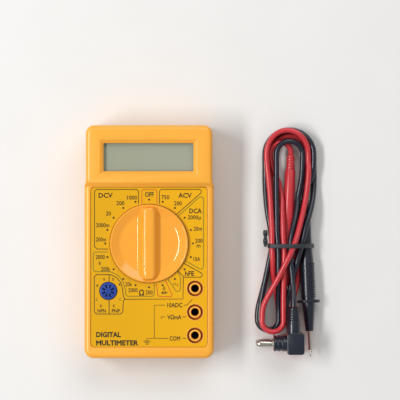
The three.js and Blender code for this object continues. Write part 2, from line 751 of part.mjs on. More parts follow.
// Corners of a convex outline whose sides are moved outwards.
function moveSides(corners, outwards) {
  const sides = corners.map((corner, i) => {
    const next = corners[(i + 1) % corners.length];
    const along = new THREE.Vector2(next[0] - corner[0], next[1] - corner[1]).normalize();
    const point = new THREE.Vector2(corner[0] + along.y * outwards, corner[1] - along.x * outwards);
    return { point, along };
  });
  return sides.map((side, i) => {
    const before = sides[(i + sides.length - 1) % sides.length];
    const apart = side.point.clone().sub(before.point);
    const share = apart.cross(side.along) / before.along.cross(side.along);
    return before.point.clone().addScaledVector(before.along, share);
  });
}

// A bar through the tie, as long as asked, its sides moved outwards from the tie's inside.
function tieBar(outwards, length) {
  const outline = new THREE.Shape(moveSides(tieInside, outwards));
  const bar = slab(outline, -length / 2, length / 2);
  return bar.rotateX(Math.PI / 2).translate(0, tieY, 0);
}

// The outer shape of both folded cords, with channels for the probes under it.
function leadHank() {
  const topCentre = [76.3, 47.6];
  const topRadius = 15.4;
  const footCentre = [66.5, -43];
  const footRadius = 7.9;
  const shape = new THREE.Shape();
  shape.moveTo(footCentre[0] - footRadius, footCentre[1]);
  shape.absarc(...footCentre, footRadius, Math.PI, 2 * Math.PI);
  shape.lineTo(footCentre[0] + footRadius, hankFace);
  shape.lineTo(81.5, hankFace);
  shape.lineTo(85.2, tieY);
  shape.bezierCurveTo(88, 12, topCentre[0] + topRadius, 30, topCentre[0] + topRadius, topCentre[1]);
  shape.absarc(...topCentre, topRadius, 0, Math.PI);
  shape.bezierCurveTo(topCentre[0] - topRadius, 30, 64.6, 12, 65.2, tieY);
  shape.lineTo(62, -22);
  shape.closePath();
  const whole = slab(shape, 0.2, hankTop, 5);
  const channels = [];
  for (const color of ['red', 'black']) {
    const [x0, y0] = tails[color];
    const [x1, y1] = tips[color];
    const lean = Math.atan2(x1 - x0, y0 - y1);
    const channel = (halfWidth, from, to, top) => {
      const bar = box(-halfWidth, halfWidth, -to, -from, -1, top);
      channels.push(bar.rotateZ(lean).translate(x0, y0, 0));
    };
    channel(4.1, -gap, guardAt, 9.3);
    channel(guardHalfWidth + 0.4, guardAt - 1.4, guardAt + 1.4, 10);
    channel(4, guardAt, noseEnd + gap, 9.3);
    channel(1.4, noseEnd, probeLength + 0.5, 8);
  }
  const groove = cut(box(50, 100, tieY - 1.6, tieY + 1.6, -1, 30), tieBar(-gap, 10));
  return cut(whole, ...channels, groove);
}

add('lead_hank', leadHank(), leadBlack);

add('lead_tie', cut(tieBar(tieThickness, tieWidth), tieBar(0, 2 * tieWidth)), rubberGrey);

export default model;
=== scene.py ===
# %% [markdown]
# # A pocket digital multimeter and its test leads
# The solid parts come from the CAD model and are already in place. Here each visible piece gets its
# finished shape and its surface. Everything is in metres, so small sizes are written in millimetres
# and multiplied by `MM`.

import math

import bpy
from mathutils import Matrix, Vector


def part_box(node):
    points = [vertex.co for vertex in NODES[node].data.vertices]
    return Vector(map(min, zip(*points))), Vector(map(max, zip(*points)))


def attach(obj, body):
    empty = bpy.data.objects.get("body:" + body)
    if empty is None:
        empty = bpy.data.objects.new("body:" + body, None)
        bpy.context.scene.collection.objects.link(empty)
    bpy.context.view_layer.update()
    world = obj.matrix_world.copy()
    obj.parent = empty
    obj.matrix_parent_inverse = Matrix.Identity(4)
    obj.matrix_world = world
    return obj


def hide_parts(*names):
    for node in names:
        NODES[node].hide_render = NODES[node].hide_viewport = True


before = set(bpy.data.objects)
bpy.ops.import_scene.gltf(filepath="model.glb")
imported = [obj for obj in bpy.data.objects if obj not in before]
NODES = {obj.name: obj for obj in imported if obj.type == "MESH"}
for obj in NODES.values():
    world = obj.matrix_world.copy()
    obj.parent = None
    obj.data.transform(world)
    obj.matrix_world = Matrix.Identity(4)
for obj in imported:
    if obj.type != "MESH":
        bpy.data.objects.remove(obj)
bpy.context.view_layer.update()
MM = 0.001


def middle(node):
    """The middle of an imported part's box, in metres."""
    low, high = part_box(node)
    return (low + high) / 2

# %% [markdown]
# ## Camera
# The camera looks straight down on the face of the meter, so the meter shows as a plain rectangle.
# A long lens far away keeps the sides from leaning. The view is 218 mm wide and its middle lies to the
# right of the meter, which leaves room for the leads.

# %% Make the camera
VIEW_WIDTH = 218 * MM
VIEW_CENTRE = Vector((27.5 * MM, 22.6 * MM, 12 * MM))
CAMERA_DISTANCE = 1.3

camera_data = bpy.data.cameras.new("camera")
camera_data.sensor_width = 36
camera_data.lens = 36 * CAMERA_DISTANCE / VIEW_WIDTH
camera = bpy.data.objects.new("camera", camera_data)
camera.location = VIEW_CENTRE + Vector((0, 0, CAMERA_DISTANCE))
bpy.context.scene.collection.objects.link(camera)
bpy.context.scene.camera = camera
print("lens", round(camera_data.lens, 1), "mm")

# %% [markdown]
# ## Helpers for materials
# Colours are picked as sRGB hex values, the way a paint program shows them. Shaders work in linear
# light, so one function converts them. Another adds a node, sets it up and links it.


# %% Colour and node helpers
def paint(hex_value):
    """A hex colour such as "F6B04A" as linear red, green, blue and alpha."""
    channels = [int(hex_value[i : i + 2], 16) / 255 for i in (0, 2, 4)]
    linear = [c / 12.92 if c <= 0.04045 else ((c + 0.055) / 1.055) ** 2.4 for c in channels]
    return (*linear, 1.0)


def add(material, kind, inputs=None, **settings):
    """Adds a shader node. An input is a value, or the output socket to link to it."""
    tree = material.node_tree
    made = tree.nodes.new(kind)
    for name, value in settings.items():
        setattr(made, name, value)
    for name, value in (inputs or {}).items():
        if isinstance(value, bpy.types.NodeSocket):
            tree.links.new(value, made.inputs[name])
        else:
            made.inputs[name].default_value = value
    return made


def start_material(name):
    """An empty material with its surface output."""
    material = bpy.data.materials.new(name)
    material.use_nodes = True
    material.node_tree.nodes.clear()
    return material


def finish_material(material, shader):
    """Links a shader to the surface."""
    add(material, "ShaderNodeOutputMaterial", {"Surface": shader.outputs[0]})
    return material


# %% [markdown]
# ## Moulded plastics
# ABS is the tough plastic of most instrument cases. It is cast against steel, so its surface copies the
# steel: satin where the mould was etched, glossy where it was polished. What the eye reads is a soft
# sheen that varies a little, a grain of about 0.2 mm and a faint change of tone over some centimetres.


# %% A moulded plastic
def moulded_plastic(name, light, dark, roughness, grain_mm=0.25, grain_depth_mm=0.004, coat=0.0):
    material = start_material(name)
    place = add(material, "ShaderNodeTexCoord").outputs["Object"]
    tone = add(material, "ShaderNodeTexNoise", {"Vector": place, "Scale": 1 / (35 * MM), "Detail": 2})
    colour = add(
        material,
        "ShaderNodeMix",
        {"Factor": tone.outputs["Fac"], "A": paint(light), "B": paint(dark)},
        data_type="RGBA",
    )
    smear = add(material, "ShaderNodeTexNoise", {"Vector": place, "Scale": 1 / (6 * MM), "Detail": 3})
    sheen = add(
        material,
        "ShaderNodeMapRange",
        {"Value": smear.outputs["Fac"], "To Min": roughness * 0.85, "To Max": roughness * 1.15},
    )
    grain = add(
        material, "ShaderNodeTexNoise", {"Vector": place, "Scale": 1 / (grain_mm * MM), "Detail": 1}
    )
    bump = add(
        material,
        "ShaderNodeBump",
        {"Height": grain.outputs["Fac"], "Strength": 0.5, "Distance": grain_depth_mm * MM},
    )
    shader = add(
        material,
        "ShaderNodeBsdfPrincipled",
        {
            "Base Color": colour.outputs["Result"],
            "Roughness": sheen.outputs["Result"],
            "Normal": bump.outputs["Normal"],
            "IOR": 1.54,
            "Coat Weight": coat,
            "Coat Roughness": 0.12,
        },
    )
    return finish_material(material, shader)


KNOB_ABS = moulded_plastic("moulded ABS polished orange", "F8AA38", "F1A02E", 0.09, 0.5, 0.001)
WHITE_PLASTIC = moulded_plastic("moulded ABS white", "E6E2D6", "DAD5C8", 0.45)
SOCKET_PLASTIC = moulded_plastic("moulded nylon blue", "1B419E", "17388A", 0.3, 0.3, 0.002)
BLACK_PLASTIC = moulded_plastic("moulded ABS black", "1C1D1F", "141416", 0.42)
EPOXY = moulded_plastic("potting epoxy black", "101011", "0A0A0B", 0.3, 1.2, 0.02)
TIE_PLASTIC = moulded_plastic("vinyl coated tie dark grey", "2C2E37", "202229", 0.45, 0.4, 0.01)
FILM_CASE = moulded_plastic("dipped film capacitor amber", "C8871D", "A86A12", 0.25, 1.0, 0.01)
RESISTOR_LACQUER = moulded_plastic("resistor lacquer pale blue", "7FA9BC", "6E98AB", 0.35, 0.8, 0.01)
BATTERY_JACKET = moulded_plastic("lacquered steel jacket blue", "2A3C5C", "22314D", 0.3, 0.6, 0.001)
print("plastics:", len(bpy.data.materials))

# %% [markdown]
# The case is the same ABS, etched to a satin, but it also needs the deep grooves round the jacks.
# Little light gets into a groove a millimetre wide, so it looks dark brown, and that shade is painted:
# a mask built from the distance to each jack's axis darkens the plastic there with a brown.

# %% The case's plastic
CASE_ABS = moulded_plastic("moulded ABS satin yellow orange", "FAB03A", "F6A832", 0.33, 0.3, 0.004)
JACKS = [middle("jack_sleeve_" + name) for name in ("ten_amp", "volt_ohm", "common")]
GROOVE_INNER, GROOVE_OUTER = 3.12 * MM, 4.32 * MM
GROOVE_TOP = 22.9 * MM


def jack_mask(material, low, high, jack):
    """One inside the ring between two radii round a jack, and nothing outside."""
    place = add(material, "ShaderNodeTexCoord").outputs["Object"]
    moved = add(material, "ShaderNodeVectorMath", {0: place, 1: (*jack.xy, 0)}, operation="SUBTRACT")
    flat = add(material, "ShaderNodeVectorMath", {0: moved.outputs[0], 1: (1, 1, 0)}, operation="MULTIPLY")
    away = add(material, "ShaderNodeVectorMath", {0: flat.outputs[0]}, operation="LENGTH")
    inside = add(material, "ShaderNodeMath", {0: away.outputs["Value"], 1: high}, operation="LESS_THAN")
    outside = add(material, "ShaderNodeMath", {0: away.outputs["Value"], 1: low}, operation="GREATER_THAN")
    return add(
        material, "ShaderNodeMath", {0: inside.outputs[0], 1: outside.outputs[0]}, operation="MULTIPLY"
    ).outputs[0]


def paint_groove_shade(material):
    """Mixes a brown painted shade into the base colour inside the grooves."""
    tree = material.node_tree
    shader = next(n for n in tree.nodes if n.type == "BSDF_PRINCIPLED")
    clean = shader.inputs["Base Color"].links[0].from_socket
    masks = [jack_mask(material, GROOVE_INNER, GROOVE_OUTER, jack) for jack in JACKS]
    any_jack = add(material, "ShaderNodeMath", {0: masks[0], 1: masks[1]}, operation="ADD")
    any_jack = add(material, "ShaderNodeMath", {0: any_jack.outputs[0], 1: masks[2]}, operation="ADD")
    place = add(material, "ShaderNodeTexCoord").outputs["Object"]
    height = add(material, "ShaderNodeSeparateXYZ", {"Vector": place}).outputs["Z"]
    below = add(material, "ShaderNodeMath", {0: height, 1: GROOVE_TOP}, operation="LESS_THAN")
    mask = add(
        material, "ShaderNodeMath", {0: any_jack.outputs[0], 1: below.outputs[0]}, operation="MULTIPLY"
    )
    # painted shade: brown mixed into the case colour deep in the grooves round the jacks
    mixed = add(
        material,
        "ShaderNodeMix",
        {"Factor": mask.outputs[0], "A": clean, "B": paint("C46420")},
        data_type="RGBA",
    )
    tree.links.new(mixed.outputs["Result"], shader.inputs["Base Color"])


paint_groove_shade(CASE_ABS)
print("case nodes:", len(CASE_ABS.node_tree.nodes))

# %% [markdown]
# ## Printed panel
# The panel is a polyester film printed on its back in flat colours, so it has the even tone of ink
# under a thin gloss. The yellow is a little lighter towards the right edge. The dark, olive and
# orange inks of the lettering lie on top of it as separate pieces.


# %% Inks and panel film
def ink(name, colour, roughness=0.35):
    material = start_material(name)
    place = add(material, "ShaderNodeTexCoord").outputs["Object"]
    wear = add(material, "ShaderNodeTexNoise", {"Vector": place, "Scale": 1 / (0.8 * MM), "Detail": 2})
    tone = add(material, "ShaderNodeMapRange", {"Value": wear.outputs["Fac"], "To Min": 0.9, "To Max": 1.1})
    shade = add(
        material,
        "ShaderNodeMix",
        {"Factor": 1.0, "A": paint(colour), "B": tone.outputs["Result"]},
        data_type="RGBA",
        blend_type="MULTIPLY",
    )
    shader = add(
        material,
        "ShaderNodeBsdfPrincipled",
        {"Base Color": shade.outputs["Result"], "Roughness": roughness, "IOR": 1.5},
    )
    return finish_material(material, shader)


DARK_INK = ink("screen ink dark brown", "33260C")
OLIVE_INK = ink("screen ink olive", "74741C")
ORANGE_INK = ink("screen ink orange", "D2581A")


PANEL_HALF = 31 * MM


def panel_film():
    material = start_material("printed polyester film yellow")
    place = add(material, "ShaderNodeTexCoord").outputs["Object"]
    across = add(material, "ShaderNodeSeparateXYZ", {"Vector": place}).outputs["X"]
    share = add(
        material,
        "ShaderNodeMapRange",
        {"Value": across, "From Min": -PANEL_HALF, "From Max": PANEL_HALF},
        interpolation_type="SMOOTHSTEP",
    )
    colour = add(
        material,
        "ShaderNodeMix",
        {"Factor": share.outputs["Result"], "A": paint("DBA300"), "B": paint("E8AB00")},
        data_type="RGBA",
    )
    ripple = add(material, "ShaderNodeTexNoise", {"Vector": place, "Scale": 1 / (9 * MM), "Detail": 1})
    bump = add(
        material,
        "ShaderNodeBump",
        {"Height": ripple.outputs["Fac"], "Strength": 0.3, "Distance": 0.02 * MM},
    )
    shader = add(
        material,
        "ShaderNodeBsdfPrincipled",
        {
            "Base Color": colour.outputs["Result"],
            "Roughness": 0.33,
            "IOR": 1.5,
            "Specular IOR Level": 0.35,
            "Normal": bump.outputs["Normal"],
        },
    )
    return finish_material(material, shader)


PANEL_FILM = panel_film()
print("inks and film ready")

# %% [markdown]
# ## Display glass and window
# With the meter off the display is an even grey-green: light passes a polariser, the liquid crystal and
# a dull reflector, and comes back the same way. The window over it is clear acrylic. Real glass
# shaders bend light and need many samples, so the window only lets light through and adds the sharp
# reflection of a polished surface: four percent seen straight on, and rising steeply at flat angles.
# The rise comes from the tilt of the surface and not from a Fresnel node, which would turn the
# window's back face into a mirror because the light in it isn't bent.


# %% Display materials
DISPLAY_HALF = 26 * MM


def display_glass():
    material = start_material("liquid crystal cell grey green")
    place = add(material, "ShaderNodeTexCoord").outputs["Object"]
    across = add(material, "ShaderNodeSeparateXYZ", {"Vector": place}).outputs["X"]
    share = add(
        material,
        "ShaderNodeMapRange",
        {"Value": across, "From Min": -DISPLAY_HALF, "From Max": DISPLAY_HALF},
    )
    colour = add(
        material,
        "ShaderNodeMix",
        {"Factor": share.outputs["Result"], "A": paint("B7B6A8"), "B": paint("BEBCB2")},
        data_type="RGBA",
    )
    speckle = add(material, "ShaderNodeTexNoise", {"Vector": place, "Scale": 1 / (0.4 * MM), "Detail": 1})
    dull = add(
        material, "ShaderNodeMapRange", {"Value": speckle.outputs["Fac"], "To Min": 0.3, "To Max": 0.42}
    )
    shader = add(
        material,
        "ShaderNodeBsdfPrincipled",
        {"Base Color": colour.outputs["Result"], "Roughness": dull.outputs["Result"], "IOR": 1.52},
    )
    return finish_material(material, shader)


MIRROR_RISE = 5.0


def clear_sheet(name, mirror_share, tint):
    """A clear material that mirrors a share of the light, and more at flat angles."""
    material = start_material(name)
    place = add(material, "ShaderNodeTexCoord").outputs["Object"]
    haze = add(material, "ShaderNodeTexNoise", {"Vector": place, "Scale": 1 / (5 * MM), "Detail": 2})
    rough = add(
        material, "ShaderNodeMapRange", {"Value": haze.outputs["Fac"], "To Min": 0.02, "To Max": 0.09}
    )
    through = add(material, "ShaderNodeBsdfTransparent", {"Color": paint(tint)})
    mirror = add(material, "ShaderNodeBsdfGlossy", {"Roughness": rough.outputs["Result"]})
    tilt = add(material, "ShaderNodeLayerWeight", {"Blend": 0.5}).outputs["Facing"]
    steep = add(material, "ShaderNodeMath", {0: tilt, 1: MIRROR_RISE}, operation="POWER")
    share = add(material, "ShaderNodeMapRange", {"Value": steep.outputs[0], "To Min": mirror_share})
    mixed = add(
        material,
        "ShaderNodeMixShader",
        {"Fac": share.outputs[0], 1: through.outputs[0], 2: mirror.outputs[0]},
    )
    return finish_material(material, mixed)


DISPLAY_GLASS = display_glass()
CLEAR_ACRYLIC = clear_sheet("polished acrylic clear", 0.04, "F6F8F4")
FUSE_GLASS = clear_sheet("drawn glass tube", 0.043, "E4ECE8")
print("display materials ready")

# %% [markdown]
# ## Metals
# The plug pins, probe tips, screws and springs are nickel plated: bright, slightly yellow grey, with fine
# drawing marks that stretch the highlights. The jack sleeves, wipers and clips are bare brass.


# %% Plated and bare metal
def metal(name, light, dark, roughness):
    material = start_material(name)
    place = add(material, "ShaderNodeTexCoord").outputs["Object"]
    marks = add(material, "ShaderNodeTexNoise", {"Vector": place, "Scale": 1 / (0.5 * MM), "Detail": 4})
    colour = add(
        material,
        "ShaderNodeMix",
        {"Factor": marks.outputs["Fac"], "A": paint(light), "B": paint(dark)},
        data_type="RGBA",
    )
    sheen = add(
        material,
        "ShaderNodeMapRange",
        {"Value": marks.outputs["Fac"], "To Min": roughness * 0.7, "To Max": roughness * 1.3},
    )
    shader = add(
        material,
        "ShaderNodeBsdfPrincipled",
        {"Base Color": colour.outputs["Result"], "Metallic": 1.0, "Roughness": sheen.outputs["Result"]},
    )
    return finish_material(material, shader)


NICKEL = metal("nickel plated steel", "D3CEC4", "BDB7AC", 0.22)
BRASS = metal("bare brass", "D9B464", "B98F3F", 0.26)
print("metals ready")

# %% [markdown]
# ## Soft PVC
# The cords, probe handles and plugs are soft PVC. It is a little see-through at its skin and has an
# oily gloss, which gives long narrow highlights along a cord. Handling leaves it uneven, so the
# roughness wanders over a few millimetres.


# %% Soft PVC
def soft_pvc(name, light, dark, roughness):
    material = start_material(name)
    place = add(material, "ShaderNodeTexCoord").outputs["Object"]
    tone = add(material, "ShaderNodeTexNoise", {"Vector": place, "Scale": 1 / (12 * MM), "Detail": 3})
    colour = add(
        material,
        "ShaderNodeMix",
        {"Factor": tone.outputs["Fac"], "A": paint(light), "B": paint(dark)},
        data_type="RGBA",
    )
    touch = add(material, "ShaderNodeTexNoise", {"Vector": place, "Scale": 1 / (3 * MM), "Detail": 2})
    sheen = add(
        material,
        "ShaderNodeMapRange",
        {"Value": touch.outputs["Fac"], "To Min": roughness * 0.8, "To Max": roughness * 1.25},
    )
    ripple = add(
        material,
        "ShaderNodeBump",
        {"Height": touch.outputs["Fac"], "Strength": 0.4, "Distance": 0.02 * MM},
    )
    shader = add(
        material,
        "ShaderNodeBsdfPrincipled",
        {
            "Base Color": colour.outputs["Result"],
            "Roughness": sheen.outputs["Result"],
            "Normal": ripple.outputs["Normal"],
            "IOR": 1.53,
            "Coat Weight": 0.25,
            "Coat Roughness": 0.15,
        },
    )
    return finish_material(material, shader)


PVC = {
    "red": soft_pvc("soft PVC red", "D0323A", "BC2832", 0.3),
    "black": soft_pvc("soft PVC blue black", "121A2D", "0C1221", 0.3),
}
RUBBER = soft_pvc("silicone rubber dark grey", "3A3A3D", "2E2E31", 0.6)
print("PVC ready")

# %% [markdown]
# ## Circuit board
# Glass-fibre laminate under green solder mask. The glass is a plain weave of threads half a millimetre
# wide, and it shows through the mask as a faint pattern, drawn here with very small bricks.


# %% Board laminate
def board_laminate():
    material = start_material("glass fibre laminate green mask")
    place = add(material, "ShaderNodeTexCoord").outputs["Object"]
    weave = add(
        material,
        "ShaderNodeTexBrick",
        {
            "Vector": place,
            "Scale": 1.0,
            "Color1": paint("1D5A36"),
            "Color2": paint("205F3A"),
            "Mortar": paint("24653E"),
            "Mortar Size": 0.08 * MM,
            "Brick Width": 1.0 * MM,
            "Row Height": 0.5 * MM,
        },
    )
    bump = add(
        material, "ShaderNodeBump", {"Height": weave.outputs["Fac"], "Strength": 0.3, "Distance": 0.01 * MM}
    )
    shader = add(
        material,
        "ShaderNodeBsdfPrincipled",
        {
            "Base Color": weave.outputs["Color"],
            "Roughness": 0.32,
            "IOR": 1.55,
            "Normal": bump.outputs["Normal"],
        },
    )
    return finish_material(material, shader)


LAMINATE = board_laminate()
print("materials in all:", len(bpy.data.materials))

# %% [markdown]
# ## Cords
# Each lead is one cord, 3 mm thick. Its first point is at the back of a probe and its last at a plug.
# In between it is folded: it runs up and down the hank in long loops, and five strands of each colour
# pass through the tie. A strand is given by way points in millimetres and each end loop by an arc, and a
# smooth line is then drawn through all of them.

# %% Line helpers
CORD = 3 * MM


def bend(centre, radius, start, end, heights):
    """Points round a circle between two angles in degrees, one for each height."""
    steps = len(heights) - 1
    turns = [math.radians(start + (end - start) * i / steps) for i in range(steps + 1)]
    return [
        (centre[0] + radius * math.cos(t), centre[1] + radius * math.sin(t), h)
        for t, h in zip(turns, heights)
    ]


def oval(centre, half_wide, half_deep, heights):
    """Points over the upper half of an oval from right to left, one for each height."""
    turns = [math.pi * i / (len(heights) - 1) for i in range(len(heights))]
    return [
        (centre[0] + half_wide * math.cos(t), centre[1] + half_deep * math.sin(t), h)
        for t, h in zip(turns, heights)
    ]


def level(height, points=12):
    """The same height for every point of an arc."""
    return [height] * points


# the middles of the loops at the top and foot of the hank
TOP = (76.5, 47.6)
FOOT = (64.9, -42.8)

# %% Way of the red cord
RED_WAY = [
    (77.36, 47.5, 2.95),
    *bend((71.85, 48.4), 5.6, 0, 180, [3.3, 3.9, 4.5, 4.75, 4.75, 4.75, 4.75, 4.75]),
    (66.5, 43.2, 4.75), (68.3, 38, 4.75), (70.6, 32, 4.8), (71.9, 26, 5.5), (72.4, 20, 7.1),
    (72.6, 13, 8.5), (72.8, 7, 9.5), (73.1, 0, 10.5), (73.5, -4.5, 11.0), (73.5, -9.5, 11.15),
    (73.3, -16, 10.9), (73.1, -25, 10.9), (73, -36, 11.05),
    *bend((67.2, -43.4), 5.9, 8, -188, level(11.05)),
    (61.9, -36, 11.5), (63.9, -31, 12.2), (66.7, -26, 12.9), (69.8, -20.5, 13.7), (72.6, -15, 14.1),
    (75.2, -10, 14.3), (77.5, -5, 14.0), (79.4, 0, 12.8), (81, 5, 11.3), (82.6, 11, 9.7),
    (84.3, 18, 8.1), (85.6, 25, 7.3), (86.6, 33, 7.0), (87, 39, 6.4), (86.9, 43.5, 5.4),
    *oval((75.35, 47.6), 11.45, 13.2, [5.4, 6.2, 7.05, 7.6, 7.85, *level(7.9, 7)]),
    (64.3, 41, 7.95), (65.1, 33, 8.4), (65.8, 24, 9.1), (66.3, 15, 10.0), (66.7, 6, 11.1),
    (66.8, -2.5, 11.5), (67.1, -9, 11.0), (67.4, -16, 9.2), (68.2, -22, 6.5), (69.3, -28, 3.8),
    (70.2, -35, 2.0),
    *bend(FOOT, 5.9, 6, -186, level(1.6)),
    (59.3, -37, 1.6), (61.4, -29, 1.6), (63.9, -20, 1.7), (65.6, -11, 2.1), (66.7, -2.5, 2.3),
    (66.7, 8, 2.0), (66.6, 20, 1.65), (66.3, 33, 1.6), (66.25, 41, 1.6),
    *bend(TOP, 10.25, 180, 0, level(1.6)),
    (86, 41, 1.6), (84, 33, 1.6), (81.9, 27, 1.6), (81.05, 21, 1.6), (80.9, 12, 1.7), (81.2, 4, 2.1),
    (81.5, -2.5, 2.25), (81.5, -8.4, 1.9), (81.35, -14, 1.8), (81.1, -20.3, 2.4), (80.1, -25.5, 3.3),
    (79.2, -29.5, 4.2), (78.6, -33, 4.7), (78.5, -35.6, 4.8),
]
print("red way points:", len(RED_WAY))

# %% Way of the black cord
BLACK_WAY = [
    (84.88, 23.1, 2.93), (85.1, 26, 3.1), (86.3, 29.5, 3.5), (88.2, 34, 4.35), (89.5, 39.5, 4.75),
    *bend(TOP, 13.35, -3, 183, level(4.75, 14)),
    (63.2, 40, 4.85), (63.3, 33, 5.1), (63.5, 25, 6.1), (64.5, 15, 7.3), (66.1, 6, 8.2),
    (66.7, -2.5, 8.45), (65.2, -11, 8.2), (63.6, -19, 7.95), (62, -27, 7.9), (60.7, -35, 7.9),
    *bend((67.1, -41.8), 6.9, 186, 366, level(7.9, 13)),
    (74.5, -36.5, 8.5), (75.4, -31, 8.5), (77.05, -25, 8.0), (78.2, -20, 7.85), (79.8, -14, 8.6),
    (80.8, -10, 9.3), (82.6, -3.5, 9.5), (84.2, 3, 9.2), (86, 10, 8.4), (88.1, 17.5, 6.3),
    (89.6, 25.5, 3.7), (90.15, 34, 1.9), (90, 41, 1.6),
    *bend(TOP, 13.35, 0, 180, level(1.6, 14)),
    (63.15, 41, 1.6), (63.15, 34, 1.7), (63.5, 26, 2.6), (64.5, 16, 4.1), (66.1, 6, 5.1),
    (66.7, -2.5, 5.35), (65.3, -11, 5.1), (63.4, -20, 4.8), (61.2, -29, 4.75), (59.3, -37, 4.75),
    *bend(FOOT, 5.9, 186, 366, level(4.75)),
    (70.6, -36, 5.4), (70.4, -29, 7.5), (70.4, -21, 9.7), (70.4, -14, 10.4), (70.1, -2.5, 10.4),
    (69.5, 5, 10.1), (69.4, 15, 9.4), (69.3, 25, 8.5), (69.3, 35, 8.0), (69.3, 42, 7.9),
    *bend(TOP, 7.2, 180, 0, [*level(7.9, 5), 7.7, 7.2, 6.6, 6.0, 5.5, 5.2]),
    (83.6, 41, 4.95), (83.2, 35, 4.85), (82.2, 29, 4.8), (81.15, 23.5, 5.0), (80.6, 18.5, 6.4),
    (79.6, 13, 8.0), (78, 6, 9.8), (76.9, -1, 10.6), (76.7, -6, 11.05), (76.9, -11, 11.2),
    (77.4, -15, 11.15), (77.9, -20, 11.15), (78.2, -25.5, 12.2), (78.4, -29.5, 13.4),
    (78.5, -33, 14.2), (78.5, -35.6, 14.4),
]
print("black way points:", len(BLACK_WAY))


# %% Make the cords
def make_cord(name, way, material):
    """A round cord along a smooth curve through the way points."""
    data = bpy.data.curves.new(name, "CURVE")
    data.dimensions = "3D"
    data.resolution_u = 4
    data.bevel_depth = CORD / 2
    data.bevel_resolution = 5
    data.use_fill_caps = True
    spline = data.splines.new("BEZIER")
    spline.bezier_points.add(len(way) - 1)
    for point, spot in zip(spline.bezier_points, way):
        point.co = Vector(spot) * MM
        point.handle_left_type = point.handle_right_type = "AUTO"
    data.materials.append(material)
    piece = bpy.data.objects.new(name, data)
    bpy.context.scene.collection.objects.link(piece)
    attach(piece, "leads")
    print(name, "length in mm:", round(spline.calc_length() / MM))
    return piece


cords = {
    "red": make_cord("cord_red", RED_WAY, PVC["red"]),
    "black": make_cord("cord_black", BLACK_WAY, PVC["black"]),
}
for colour, cord in cords.items():
    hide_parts("lead_cord_" + colour)
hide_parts("lead_hank")

# %% [markdown]
# ## Helpers for modelling
# Blender's operators work on what is selected, and the imported parts start selected, so each step
# first clears the selection. `grow` is the main one: it takes a flat face and raises it level by
# level, each time extruding and then scaling it, which makes any turned or tapering shape.


# %% Modelling helpers
def only(piece):
    """Selects one object and makes it the active one."""
    bpy.ops.object.select_all(action="DESELECT")
    piece.select_set(True)
    bpy.context.view_layer.objects.active = piece


def grow(piece, levels):
    """Raises a flat face through levels of (half width, half depth, height), in millimetres."""
    only(piece)
    bpy.ops.object.mode_set(mode="EDIT")
    bpy.ops.mesh.select_all(action="SELECT")
    wide, deep, height = levels[0]
    for next_wide, next_deep, next_height in levels[1:]:
        rise = (0, 0, (next_height - height) * MM)
        bpy.ops.mesh.extrude_region_move(TRANSFORM_OT_translate={"value": rise})
        bpy.ops.transform.resize(
            value=(next_wide / wide, next_deep / deep, 1), center_override=(0, 0, next_height * MM)
        )
        wide, deep, height = next_wide, next_deep, next_height
    bpy.ops.mesh.select_all(action="SELECT")
    bpy.ops.mesh.normals_make_consistent(inside=False)
    bpy.ops.object.mode_set(mode="OBJECT")
    return piece


def turned(name, profile, sides=48):
    """A turned piece about Z from (radius, height) pairs in millimetres, starting at its lower end."""
    bpy.ops.object.select_all(action="DESELECT")
    radius, height = profile[0]
    bpy.ops.mesh.primitive_circle_add(
        vertices=sides, radius=radius * MM, fill_type="NGON", location=(0, 0, height * MM)
    )
    piece = bpy.context.active_object
    piece.name = name
    bpy.ops.object.transform_apply(location=True, rotation=True, scale=True)
    return grow(piece, [(r, r, h) for r, h in profile])


def rounded_plate(name, half_wide, half_deep, height, corner, segments=5):
    """A flat rectangle with round corners, lying level."""
    bpy.ops.object.select_all(action="DESELECT")
    bpy.ops.mesh.primitive_plane_add(size=2, location=(0, 0, height * MM))
    piece = bpy.context.active_object
    piece.name = name
    piece.scale = (half_wide * MM, half_deep * MM, 1)
    bpy.ops.object.transform_apply(location=True, rotation=True, scale=True)
    bpy.ops.object.mode_set(mode="EDIT")
    bpy.ops.mesh.select_all(action="SELECT")
    bpy.ops.mesh.bevel(offset=corner * MM, segments=segments, affect="VERTICES")
    bpy.ops.object.mode_set(mode="OBJECT")
    return piece


def smooth(piece, degrees):
    """Smooths the shading across every edge flatter than an angle."""
    only(piece)
    bpy.ops.object.shade_smooth_by_angle(angle=math.radians(degrees))
    return piece


def soften(piece, width_mm):
    """Rounds the sharp edges with an applied Bevel modifier, then smooths the shading."""
    only(piece)
    modifier = piece.modifiers.new("soft edges", "BEVEL")
    modifier.width = width_mm * MM
    modifier.segments = 2
    modifier.limit_method = "ANGLE"
    modifier.angle_limit = math.radians(35)
    modifier.use_clamp_overlap = False
    modifier.harden_normals = False
    bpy.ops.object.modifier_apply(modifier=modifier.name)
    return smooth(piece, 32)


def place(piece, matrix):
    """Moves a piece by changing its mesh, so that its object stays at the origin."""
    piece.data.transform(matrix)
    piece.data.update()
    return piece


def joined(first, *others):
    """One piece out of several."""
    only(first)
    for other in others:
        other.select_set(True)
    bpy.ops.object.join()
    return first


def finished(piece, body, material, slot, *stands_for):
    """Gives a piece its material, its body and the parts it stands for."""
    piece.data.materials.clear()
    piece.data.materials.append(material)
    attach(piece, body)
    if stands_for:
        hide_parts(*stands_for)
    print(piece.name, "faces:", len(piece.data.polygons))
    return piece


def select_top(piece):
    """Selects the faces that point up and stays in Edit mode."""
    only(piece)
    bpy.ops.object.mode_set(mode="EDIT")
    bpy.ops.mesh.select_all(action="DESELECT")
    bpy.ops.object.mode_set(mode="OBJECT")
    for face in piece.data.polygons:
        face.select = face.normal.z > 0.9
    bpy.ops.object.mode_set(mode="EDIT")


